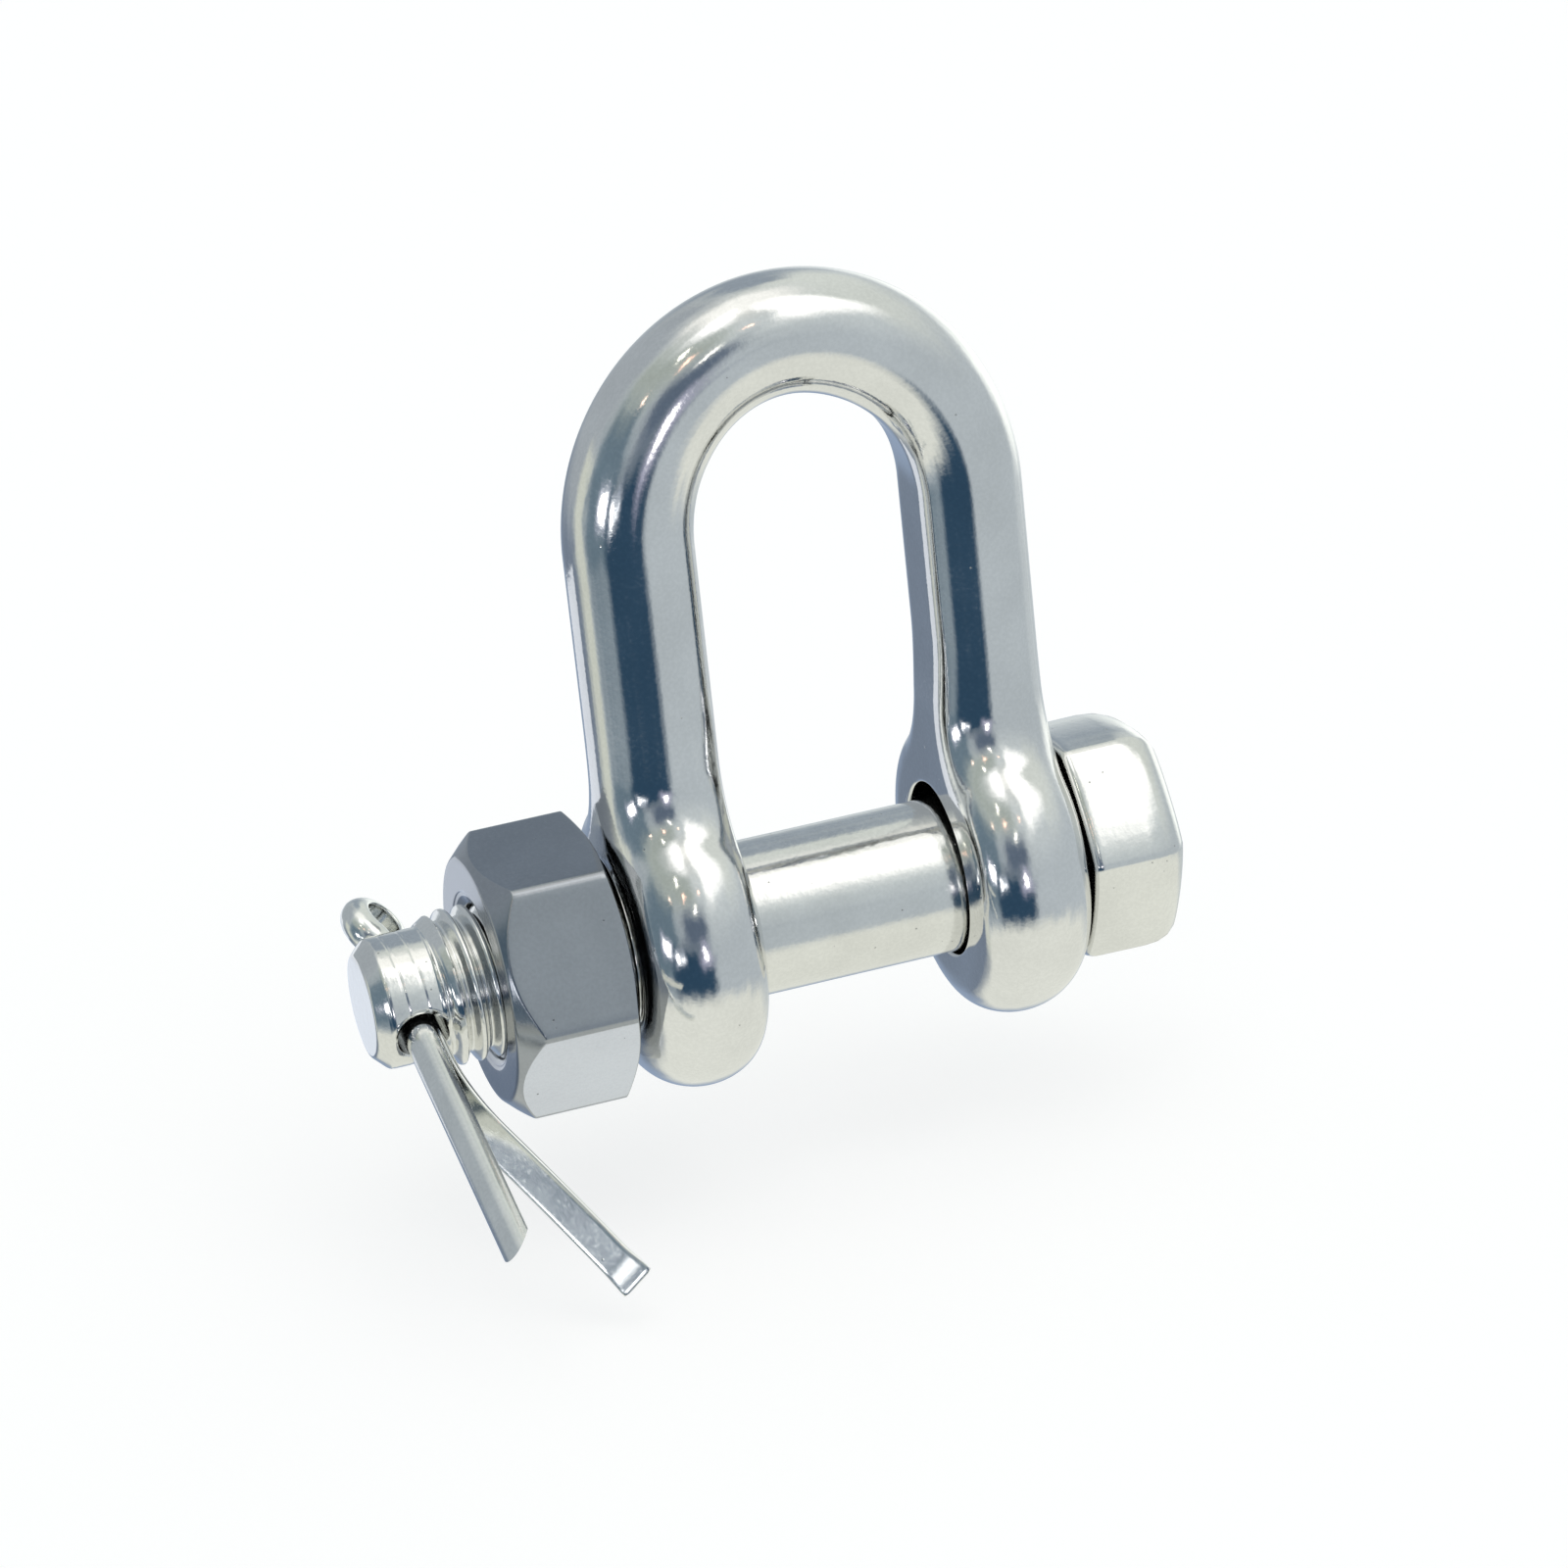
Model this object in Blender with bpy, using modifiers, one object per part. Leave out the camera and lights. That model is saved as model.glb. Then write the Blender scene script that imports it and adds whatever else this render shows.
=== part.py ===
"""Bolt-type safety dee shackle: a bow with two eyes, a headed bolt, its nut and a split pin.

Metres, +Z up. The origin is the middle of the jaw on the bolt's axis. +X runs along the bolt
towards its head, so the nut and the split pin are at -X, and the bow stands above the bolt.
"""

import math

import bmesh
import bpy
from mathutils import Matrix, Vector

MM = 0.001
MERGE = 0.00001
CUT_BEYOND = 1.0 * MM

# Bow
JAW_WIDTH = 22.6 * MM
EYE_CENTRE_Z = 0.7 * MM
EYE_OUTER_RADIUS = 16.15 * MM
EYE_HOLE_RADIUS = 9.0 * MM
EYE_HOLE_CHAMFER = 0.5 * MM
EYE_THICKNESS = 12.6 * MM
EYE_INNER_ROUND = 4.2 * MM
EYE_OUTER_ROUND = 6.3 * MM
LEG_HALF_DEPTH = 6.9 * MM
LEG_OUTER = 6.75 * MM
LEG_FLAT = 5.75 * MM
NECK_FILLET = 8.0 * MM
CROWN_BAR_RADIUS = 6.2 * MM
CROWN_CENTRE_Z = 42.3 * MM
CROWN_RISE = 18.8 * MM
LEG_RINGS = [z * MM for z in (9.0, 14.5, 16.0, 18.0, 21.0, 31.0)]

# Bolt and its thread
SHANK_RADIUS = 8.0 * MM
SHANK_WELD = 2.0 * MM
SHANK_STEP = 0.6 * MM
HEAD_UNDERSIDE_X = 24.9 * MM
HEAD_RIM_X = 34.0 * MM
HEAD_DOME = 1.4 * MM
HEAD_CORNER_RADIUS = 13.5 * MM
HEAD_ENVELOPE_RADIUS = 12.9 * MM
HEAD_EDGE_ROUND = 2.4 * MM
HEAD_ANGLE = math.radians(82.0)
THREAD_START_X = -24.6 * MM
THREAD_END_X = -43.2 * MM
THREAD_TAPER = 2.0 * MM
THREAD_PITCH = 2.0 * MM
THREAD_CREST_RADIUS = 7.9 * MM
THREAD_ROOT_RADIUS = 6.75 * MM
THREAD_CREST_HALF = 0.15 * MM
THREAD_FLANK = math.radians(30.0)
THREAD_FOOT = 0.2 * MM
THREAD_RUN_IN = 1.0 * MM
THREAD_CLEAR = 0.3 * MM
TIP_RADIUS = 6.7 * MM
TIP_END_X = -50.1 * MM
TIP_CHAMFER = 1.5 * MM
TIP_STEP = 0.2 * MM

# Nut
NUT_BACK_X = -25.0 * MM
NUT_FRONT_X = -37.8 * MM
NUT_CORNER_RADIUS = 15.0 * MM
NUT_FACE_RADIUS = 12.5 * MM
NUT_FRONT_CHAMFER = 2.6 * MM
NUT_BACK_CHAMFER = 0.8 * MM
NUT_BACK_FACE_RADIUS = 12.7 * MM
NUT_ANGLE = math.radians(-25.6)
NUT_BORE_RADIUS = 7.1 * MM
NUT_COUNTERSINK_RADIUS = 9.1 * MM
NUT_GROOVE_RADIUS = 8.25 * MM
THREAD_GAP = 0.2 * MM

# Split pin, in its cross hole
CROSS_HOLE_X = -45.6 * MM
CROSS_HOLE_RADIUS = 2.65 * MM
CROSS_HOLE_SINK = 0.6 * MM
CROSS_HOLE_LIP = 0.05 * MM
CROSS_HOLE_STEPS = 28
CROSS_HOLE_SLOPE = math.radians(18.0)
PIN_RADIUS = 1.85 * MM
PIN_LEG_GAP = 0.15 * MM
PIN_ROLL = math.radians(42.0)
PIN_EYE_INNER_RADIUS = 1.95 * MM
PIN_EYE_CENTRE = 10.9 * MM
PIN_NECK_RADIUS = 2.0 * MM
PIN_LEG_LENGTH = 40.4 * MM
PIN_SHORT_SIDE = 36.9 * MM
PIN_BEND_START = 10.2 * MM
PIN_BEND_RADIUS = 15.0 * MM
PIN_BEND_ANGLE = math.radians(40.0)
PIN_BENT_LENGTH = 40.2 * MM

# Facets
ROUND_STEPS = 48
THREAD_STEPS = 24
SECTION_POINTS = 28
CROWN_RINGS = 20
EYE_LOOP_POINTS = 16
EYE_NECK_POINTS = 5
BEND_POINTS = 8
WIRE_POINTS = 10
FACET = 2 * math.pi / ROUND_STEPS

EYE_INNER_X = JAW_WIDTH / 2
EYE_OUTER_X = EYE_INNER_X + EYE_THICKNESS
LEG_CENTRE_X = EYE_INNER_X + LEG_FLAT

STAINLESS = (0.60, 0.61, 0.60)


def clear_scene():
    """Remove every object, so the script can run twice."""
    for obj in list(bpy.data.objects):
        bpy.data.objects.remove(obj, do_unlink=True)


def new_collection(name):
    collection = bpy.data.collections.new(name)
    bpy.context.scene.collection.children.link(collection)
    return collection


def stainless(name, roughness, shade=1.0):
    """A stainless steel of the given polish."""
    material = bpy.data.materials.new(name)
    material.use_nodes = True
    shader = material.node_tree.nodes["Principled BSDF"]
    shader.inputs["Base Color"].default_value = [c * shade for c in STAINLESS] + [1.0]
    shader.inputs["Metallic"].default_value = 1.0
    shader.inputs["Roughness"].default_value = roughness
    return material


def add_object(name, data, collection, material=None):
    obj = bpy.data.objects.new(name, data)
    collection.objects.link(obj)
    if material:
        data.materials.append(material)
    return obj


def as_cutter(obj):
    """Mark a shape that only cuts, limits or joins another one."""
    obj.hide_render = True
    obj.display_type = "WIRE"
    return obj


def combine(obj, operand, operation):
    """Join, cut or limit a piece by another shape."""
    modifier = obj.modifiers.new(operation.title(), "BOOLEAN")
    modifier.operation = operation
    modifier.solver = "EXACT"
    modifier.object = operand


def turned(name, profile, collection, material=None, steps=ROUND_STEPS, phase=0.0):
    """A solid of revolution about X, from (x, radius) points down its outer side from the +X end.

    The phase turns the facets, so that they cross another shape's facets away from its edges.
    """
    mesh = bpy.data.meshes.new(name)
    points = [(radius, 0.0, x) for x, radius in profile]
    mesh.from_pydata(points, [(i, i + 1) for i in range(len(points) - 1)], [])
    obj = add_object(name, mesh, collection, material)
    obj.rotation_euler = along_x(phase).to_euler()
    screw = obj.modifiers.new("Turn", "SCREW")
    screw.steps = steps
    screw.render_steps = steps
    screw.use_merge_vertices = True
    screw.merge_threshold = MERGE
    screw.use_smooth_shade = True
    return obj


def along_x(angle):
    """The rotation that lays local Z along +X, after a turn about it by angle."""
    return Matrix.Rotation(math.pi / 2, 4, "Y") @ Matrix.Rotation(angle, 4, "Z")


def arc(centre_x, centre_r, radius, start, end, count):
    """Points (x, radius) on an arc of a profile, with angles measured from the +X direction."""
    angles = [start + (end - start) * i / (count - 1) for i in range(count)]
    return [(centre_x + radius * math.cos(a), centre_r + radius * math.sin(a)) for a in angles]


def hexagon_prism(name, corner_radius, x_low, x_high, angle, collection, material=None):
    """A hexagonal prism along X with one corner turned from +Z towards -Y by angle."""
    mesh = bpy.data.meshes.new(name)
    bm = bmesh.new()
    bmesh.ops.create_cone(
        bm,
        cap_ends=True,
        segments=6,
        radius1=corner_radius,
        radius2=corner_radius,
        depth=x_high - x_low,
        matrix=Matrix.Translation(((x_low + x_high) / 2, 0.0, 0.0))
        @ Matrix.Rotation(angle, 4, "X")
        @ Matrix.Rotation(math.pi / 2, 4, "Y")
        @ Matrix.Rotation(math.pi / 2, 4, "Z"),
    )
    bm.to_mesh(mesh)
    bm.free()
    return add_object(name, mesh, collection, material)


def helix_ridge(name, section, x_start, turns, collection):
    """A right-hand thread ridge about X: a closed (radius, x) section turned with one pitch a turn."""
    mesh = bpy.data.meshes.new(name)
    points = [(radius, 0.0, x) for radius, x in section]
    count = len(points)
    mesh.from_pydata(points, [(i, (i + 1) % count) for i in range(count)], [])
    coil = bpy.data.objects.new(name + "_coil", mesh)
    collection.objects.link(coil)
    screw = coil.modifiers.new("Helix", "SCREW")
    screw.steps = THREAD_STEPS
    screw.render_steps = THREAD_STEPS
    screw.iterations = turns
    screw.screw_offset = THREAD_PITCH
    screw.use_merge_vertices = False
    screw.merge_threshold = MERGE
    ridge = as_cutter(add_object(name, closed_copy(coil), collection))
    bpy.data.objects.remove(coil, do_unlink=True)
    ridge.location = (x_start, 0.0, 0.0)
    ridge.rotation_euler = along_x(FACET / 2).to_euler()
    return ridge


def closed_copy(obj):
    """The evaluated mesh of an object, with its seams welded, its open ends filled and faces out."""
    graph = bpy.context.evaluated_depsgraph_get()
    mesh = bpy.data.meshes.new_from_object(obj.evaluated_get(graph))
    bm = bmesh.new()
    bm.from_mesh(mesh)
    bmesh.ops.remove_doubles(bm, verts=bm.verts, dist=MERGE)
    bmesh.ops.holes_fill(bm, edges=[e for e in bm.edges if e.is_boundary], sides=0)
    bmesh.ops.recalc_face_normals(bm, faces=bm.faces)
    bm.to_mesh(mesh)
    bm.free()
    return mesh


# Bow


def neck_half_depth(z):
    """Half the leg's depth at a height: constant, then flared by a fillet into the eye's rim."""
    fillet_y = LEG_HALF_DEPTH + NECK_FILLET
    reach = EYE_OUTER_RADIUS + NECK_FILLET
    fillet_z = EYE_CENTRE_Z + math.sqrt(reach**2 - fillet_y**2)
    if z >= fillet_z:
        return LEG_HALF_DEPTH
    drop = min(fillet_z - z, NECK_FILLET * 0.8)
    return fillet_y - math.sqrt(NECK_FILLET**2 - drop**2)


def bar_section(outer, half_depth, flat):
    """Points (outward, y) of the bar: an ellipse with its inner side planed off at -flat."""
    points = []
    for i in range(SECTION_POINTS):
        angle = 2 * math.pi * (i + 0.5) / SECTION_POINTS
        points.append((max(outer * math.cos(angle), -flat), half_depth * math.sin(angle)))
    return points


def bow_stations():
    """Stations (x, z, outward angle, crown share) from the foot of one leg over to the other."""
    stations = [(-LEG_CENTRE_X, z, math.pi, 0.0) for z in LEG_RINGS]
    for i in range(CROWN_RINGS + 1):
        turn = math.pi * (1 - i / CROWN_RINGS)
        x = LEG_CENTRE_X * math.cos(turn)
        z = CROWN_CENTRE_Z + CROWN_RISE * math.sin(turn)
        outward = math.atan2(LEG_CENTRE_X * math.sin(turn), CROWN_RISE * math.cos(turn))
        stations.append((x, z, outward, math.sin(turn)))
    stations += [(LEG_CENTRE_X, z, 0.0, 0.0) for z in reversed(LEG_RINGS)]
    return stations


def bow_bar(name, collection, material):
    """The bent bar: flat-sided legs that change into a round crown."""
    bm = bmesh.new()
    rings = []
    for x, z, outward, crown in bow_stations():
        outer = LEG_OUTER + (CROWN_BAR_RADIUS - LEG_OUTER) * crown
        depth = neck_half_depth(z) + (CROWN_BAR_RADIUS - LEG_HALF_DEPTH) * crown
        flat = LEG_FLAT + (CROWN_BAR_RADIUS - LEG_FLAT) * crown
        ring = []
        for out, y in bar_section(outer, depth, flat):
            place = (x + out * math.cos(outward), y, z + out * math.sin(outward))
            ring.append(bm.verts.new(place))
        rings.append(ring)
    for near, far in zip(rings, rings[1:]):
        for i in range(SECTION_POINTS):
            j = (i + 1) % SECTION_POINTS
            bm.faces.new((near[i], near[j], far[j], far[i]))
    bm.faces.new(rings[0])
    bm.faces.new(rings[-1])
    bmesh.ops.recalc_face_normals(bm, faces=bm.faces)
    mesh = bpy.data.meshes.new(name)
    bm.to_mesh(mesh)
    bm.free()
    mesh.shade_smooth()
    return add_object(name, mesh, collection, material)


def eye_disc(name, side, collection):
    """One eye before boring: a thick disc with a flat jaw face and a well rounded outer rim."""
    inner = arc(
        EYE_INNER_X + EYE_INNER_ROUND,
        EYE_OUTER_RADIUS - EYE_INNER_ROUND,
        EYE_INNER_ROUND,
        math.pi / 2,
        math.pi,
        5,
    )
    outer = arc(
        EYE_OUTER_X - EYE_OUTER_ROUND,
        EYE_OUTER_RADIUS - EYE_OUTER_ROUND,
        EYE_OUTER_ROUND,
        0.0,
        math.pi / 2,
        8,
    )
    profile = [(EYE_OUTER_X, 0.0)] + outer + inner + [(EYE_INNER_X, 0.0)]
    disc = as_cutter(turned(name, profile, collection))
    disc.location = (0.0, 0.0, EYE_CENTRE_Z)
    if side < 0:
        disc.rotation_euler = (0.0, -math.pi / 2, 0.0)
    return disc


def eye_bore(name, collection):
    """The drill for both eyes, widened where it chamfers the four edges of the holes."""
    wide = EYE_HOLE_RADIUS + EYE_HOLE_CHAMFER
    reach = EYE_OUTER_X + EYE_HOLE_CHAMFER
    half = [
        (reach, 0.0),
        (reach, wide + EYE_HOLE_CHAMFER),
        (EYE_OUTER_X - EYE_HOLE_CHAMFER, EYE_HOLE_RADIUS),
        (EYE_INNER_X + EYE_HOLE_CHAMFER, EYE_HOLE_RADIUS),
        (EYE_INNER_X - EYE_HOLE_CHAMFER, wide + EYE_HOLE_CHAMFER),
    ]
    profile = half + [(-x, radius) for x, radius in reversed(half)]
    bore = as_cutter(turned(name, profile, collection))
    bore.location = (0.0, 0.0, EYE_CENTRE_Z)
    return bore


def build_bow(parts, cutters):
    bow = bow_bar("bow", parts, stainless("polished_bow", 0.10))
    combine(bow, eye_disc("left_eye", -1, cutters), "UNION")
    combine(bow, eye_disc("right_eye", 1, cutters), "UNION")
    combine(bow, eye_bore("eye_bore", cutters), "DIFFERENCE")
    return bow


# Bolt


def thread_half_width(radius):
    return THREAD_CREST_HALF + (THREAD_CREST_RADIUS - radius) * math.tan(THREAD_FLANK)


def thread_section(crest, root, gap):
    """A (radius, x) section of the thread ridge, grown by gap, with its flanks sunk below the root."""
    grow = gap / math.cos(THREAD_FLANK)
    foot = root - THREAD_FOOT
    crest_half = thread_half_width(crest) + grow
    foot_half = thread_half_width(foot) + grow
    return [
        (foot - THREAD_FOOT, -foot_half),
        (foot, -foot_half),
        (crest, -crest_half),
        (crest, crest_half),
        (foot, foot_half),
        (foot - THREAD_FOOT, foot_half),
    ]


def bolt_blank(name, collection, material):
    """The shank, the thread's core and the plain tip, turned from one bar."""
    profile = [
        (HEAD_UNDERSIDE_X + SHANK_WELD, 0.0),
        (HEAD_UNDERSIDE_X + SHANK_WELD, SHANK_RADIUS),
        (THREAD_START_X, SHANK_RADIUS),
        (THREAD_START_X - SHANK_STEP, THREAD_ROOT_RADIUS),
        (THREAD_END_X, THREAD_ROOT_RADIUS),
        (THREAD_END_X - TIP_STEP, TIP_RADIUS),
        (TIP_END_X + TIP_CHAMFER, TIP_RADIUS),
        (TIP_END_X, TIP_RADIUS - TIP_CHAMFER),
        (TIP_END_X, 0.0),
    ]
    return turned(name, profile, collection, material)


def bolt_thread(cutters):
    """The thread ridge, limited to its own length with a tapered start."""
    start = THREAD_END_X - THREAD_PITCH
    turns = math.ceil((THREAD_START_X - start) / THREAD_PITCH) + 1
    section = thread_section(THREAD_CREST_RADIUS, THREAD_ROOT_RADIUS, 0.0)
    ridge = helix_ridge("thread_ridge", section, start, turns, cutters)
    inside = THREAD_START_X + THREAD_RUN_IN
    limit = [
        (inside, 0.0),
        (inside, NUT_COUNTERSINK_RADIUS),
        (THREAD_END_X + THREAD_TAPER, THREAD_CREST_RADIUS + THREAD_CLEAR),
        (THREAD_END_X, THREAD_ROOT_RADIUS - THREAD_FOOT / 2),
        (THREAD_END_X, 0.0),
    ]
    combine(ridge, as_cutter(turned("thread_limit", limit, cutters, phase=FACET / 4)), "INTERSECT")
    return ridge


def bolt_head(cutters):
    """The forged hexagon head: soft corners and a domed end."""
    head = hexagon_prism(
        "head",
        HEAD_CORNER_RADIUS,
        HEAD_UNDERSIDE_X,
        HEAD_RIM_X + HEAD_DOME,
        HEAD_ANGLE,
        cutters,
    )
    soften = head.modifiers.new("Soft edges", "BEVEL")
    soften.width = HEAD_EDGE_ROUND
    soften.segments = 3
    soften.limit_method = "ANGLE"
    rim = HEAD_RIM_X
    limit = [(rim + HEAD_DOME, 0.0)]
    limit += [
        (rim + HEAD_DOME * (1 - share**2), HEAD_ENVELOPE_RADIUS * share)
        for share in (0.25, 0.5, 0.75, 1.0)
    ]
    below = HEAD_UNDERSIDE_X - CUT_BEYOND
    limit += [(below, HEAD_ENVELOPE_RADIUS), (below, 0.0)]
    combine(head, as_cutter(turned("head_limit", limit, cutters)), "INTERSECT")
    return as_cutter(head)


def pin_direction():
    """The way the split pin's legs point: across the bolt's tip, forward and down."""
    return Vector((0.0, -math.cos(CROSS_HOLE_SLOPE), -math.sin(CROSS_HOLE_SLOPE)))


def cross_hole(cutters):
    """The drill for the split pin's hole, with a small countersink at both mouths."""
    reach = THREAD_CREST_RADIUS + CROSS_HOLE_SINK
    rim = TIP_RADIUS + CROSS_HOLE_LIP
    wide = CROSS_HOLE_RADIUS + CROSS_HOLE_SINK
    profile = [(reach, 0.0), (reach, wide), (rim, wide), (rim - CROSS_HOLE_SINK, CROSS_HOLE_RADIUS)]
    profile += [(-x, radius) for x, radius in reversed(profile)]
    drill = as_cutter(turned("cross_hole", profile, cutters, steps=CROSS_HOLE_STEPS))
    drill.rotation_euler = pin_direction().to_track_quat("Z", "X").to_euler()
    drill.location = (CROSS_HOLE_X, 0.0, 0.0)
    return drill


def build_bolt(parts, cutters):
    bolt = bolt_blank("bolt", parts, stainless("polished_bolt", 0.14))
    combine(bolt, bolt_head(cutters), "UNION")
    combine(bolt, bolt_thread(cutters), "UNION")
    combine(bolt, cross_hole(cutters), "DIFFERENCE")
    return bolt


# Nut


def build_nut(parts, cutters):
    nut = hexagon_prism(
        "nut",
        NUT_CORNER_RADIUS,
        NUT_FRONT_X,
        NUT_BACK_X,
        NUT_ANGLE,
        parts,
        stainless("satin_nut", 0.24, 0.9),
    )
    beyond = CUT_BEYOND
    front_slope = (NUT_CORNER_RADIUS - NUT_FACE_RADIUS) / NUT_FRONT_CHAMFER
    back_slope = (NUT_CORNER_RADIUS - NUT_BACK_FACE_RADIUS) / NUT_BACK_CHAMFER
    widest = NUT_CORNER_RADIUS + beyond
    limit = [
        (NUT_BACK_X + beyond, 0.0),
        (NUT_BACK_X + beyond, NUT_BACK_FACE_RADIUS - beyond * back_slope),
        (NUT_BACK_X - (widest - NUT_BACK_FACE_RADIUS) / back_slope, widest),
        (NUT_FRONT_X + (widest - NUT_FACE_RADIUS) / front_slope, widest),
        (NUT_FRONT_X - beyond, NUT_FACE_RADIUS - beyond * front_slope),
        (NUT_FRONT_X - beyond, 0.0),
    ]
    combine(nut, as_cutter(turned("nut_limit", limit, cutters)), "INTERSECT")
    combine(nut, nut_bore(cutters), "DIFFERENCE")
    combine(nut, nut_groove(cutters), "DIFFERENCE")
    return nut


def nut_bore(cutters):
    """The nut's bore at the thread's crests, countersunk at both ends."""
    sink = NUT_COUNTERSINK_RADIUS - NUT_BORE_RADIUS
    beyond = CUT_BEYOND / 2
    wide = NUT_COUNTERSINK_RADIUS + 2 * beyond
    depth = sink / 2 + beyond
    profile = [
        (NUT_BACK_X + beyond, 0.0),
        (NUT_BACK_X + beyond, wide),
        (NUT_BACK_X + beyond - depth, NUT_BORE_RADIUS),
        (NUT_FRONT_X - beyond + depth, NUT_BORE_RADIUS),
        (NUT_FRONT_X - beyond, wide),
        (NUT_FRONT_X - beyond, 0.0),
    ]
    return as_cutter(turned("nut_bore", profile, cutters))


def nut_groove(cutters):
    """The nut's thread groove: the bolt's ridge grown by the running gap, in phase with it."""
    start = THREAD_END_X - THREAD_PITCH
    skip = math.floor((NUT_FRONT_X - start) / THREAD_PITCH) - 1
    turns = math.ceil((NUT_BACK_X - NUT_FRONT_X) / THREAD_PITCH) + 3
    section = thread_section(NUT_GROOVE_RADIUS, NUT_BORE_RADIUS, THREAD_GAP)
    return helix_ridge("nut_groove", section, start + skip * THREAD_PITCH, turns, cutters)


# Split pin


def pin_frame():
    """Places the split pin: local X is the way its bent leg leans, and local Y runs down its legs."""
    down = pin_direction()
    across = Vector((1.0, 0.0, 0.0))
    lean = Matrix.Rotation(-PIN_ROLL, 3, down) @ across
    normal = lean.cross(down)
    frame = Matrix((lean, down, normal)).transposed().to_4x4()
    return Matrix.Translation((CROSS_HOLE_X, 0.0, 0.0)) @ frame


def eye_path():
    """Points of the eye from one leg to the other: neck, round loop and neck."""
    centre = -PIN_EYE_CENTRE
    between = PIN_EYE_INNER_RADIUS + PIN_NECK_RADIUS
    side = PIN_LEG_GAP + PIN_NECK_RADIUS
    neck_y = centre + math.sqrt(between**2 - side**2)
    meet = math.asin(side / between)
    points = []
    for i in range(EYE_NECK_POINTS):
        turn = (math.pi / 2 - meet) * i / (EYE_NECK_POINTS - 1)
        x = side - PIN_NECK_RADIUS * math.cos(turn)
        points.append((-x, neck_y - PIN_NECK_RADIUS * math.sin(turn)))
    sweep = 2 * (math.pi - meet)
    for i in range(1, EYE_LOOP_POINTS):
        turn = meet + sweep * i / EYE_LOOP_POINTS
        points.append(
            (-PIN_EYE_INNER_RADIUS * math.sin(turn), centre + PIN_EYE_INNER_RADIUS * math.cos(turn))
        )
    points += [(-x, y) for x, y in reversed(points[:EYE_NECK_POINTS])]
    return points


def bent_leg_path():
    """Points of the leg that is bent aside to lock the pin, from the hole to its end."""
    points = []
    for i in range(BEND_POINTS + 1):
        turn = PIN_BEND_ANGLE * i / BEND_POINTS
        x = PIN_LEG_GAP + PIN_BEND_RADIUS * (1 - math.cos(turn))
        points.append((x, PIN_BEND_START + PIN_BEND_RADIUS * math.sin(turn)))
    straight = PIN_BENT_LENGTH - PIN_BEND_START - PIN_BEND_RADIUS * PIN_BEND_ANGLE
    x, y = points[-1]
    points.append((x + straight * math.sin(PIN_BEND_ANGLE), y + straight * math.cos(PIN_BEND_ANGLE)))
    return points


def half_round(collection):
    """The wire's section: a half disc whose flat faces the other leg."""
    curve = bpy.data.curves.new("half_round", "CURVE")
    curve.dimensions = "2D"
    spline = curve.splines.new("POLY")
    spline.points.add(WIRE_POINTS - 1)
    for i, point in enumerate(spline.points):
        angle = -math.pi / 2 + math.pi * i / (WIRE_POINTS - 1)
        point.co = (PIN_RADIUS * math.cos(angle), PIN_RADIUS * math.sin(angle), 0.0, 1.0)
    spline.use_cyclic_u = True
    return as_cutter(add_object("half_round", curve, collection))


def build_split_pin(parts, cutters):
    """One half-round wire, doubled round into an eye, with a straight leg and a bent one."""
    route = [(-PIN_LEG_GAP, PIN_LEG_LENGTH)] + eye_path() + bent_leg_path()
    curve = bpy.data.curves.new("pin_wire", "CURVE")
    curve.dimensions = "2D"
    curve.fill_mode = "NONE"
    spline = curve.splines.new("POLY")
    spline.points.add(len(route) - 1)
    for point, (x, y) in zip(spline.points, route):
        point.co = (x, y, 0.0, 1.0)
    curve.bevel_mode = "OBJECT"
    curve.bevel_object = half_round(cutters)
    curve.use_fill_caps = True
    wire = bpy.data.objects.new("pin_wire", curve)
    cutters.objects.link(wire)
    pin = add_object("split_pin", closed_copy(wire), parts, stainless("split_pin_wire", 0.2))
    bpy.data.objects.remove(wire, do_unlink=True)
    pin.matrix_world = pin_frame()
    pin.data.shade_smooth()
    pin.data.set_sharp_from_angle(angle=math.radians(40.0))
    combine(pin, leg_end_cut(cutters), "DIFFERENCE")
    return pin


def leg_end_cut(cutters):
    """The slanting shear that leaves the straight leg longer on its round side."""
    size = 6 * PIN_RADIUS
    slant = math.atan2(PIN_LEG_LENGTH - PIN_SHORT_SIDE, PIN_RADIUS)
    mesh = bpy.data.meshes.new("leg_end_cut")
    bm = bmesh.new()
    local = Matrix.Translation((-PIN_LEG_GAP, PIN_SHORT_SIDE, 0.0)) @ Matrix.Rotation(-slant, 4, "Z")
    shift = Matrix.Translation((0.0, size / 2, 0.0))
    bmesh.ops.create_cube(bm, size=size, matrix=local @ shift)
    bm.to_mesh(mesh)
    bm.free()
    cutter = as_cutter(add_object("leg_end_cut", mesh, cutters))
    cutter.matrix_world = pin_frame()
    return cutter


def main():
    clear_scene()
    parts = new_collection("dee_shackle")
    cutters = new_collection("cutters")
    build_bow(parts, cutters)
    build_bolt(parts, cutters)
    build_nut(parts, cutters)
    build_split_pin(parts, cutters)


main()
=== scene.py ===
"""Dee shackle, visual model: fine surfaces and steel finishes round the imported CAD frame.

Lengths in the shape code are millimetres in the frame's axes, and meshes are scaled to metres when
they are made. Angles round the bolt are measured from +Z towards -Y.
"""

import math

import bmesh
import bpy
import numpy as np
from mathutils import Matrix, Vector


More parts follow.
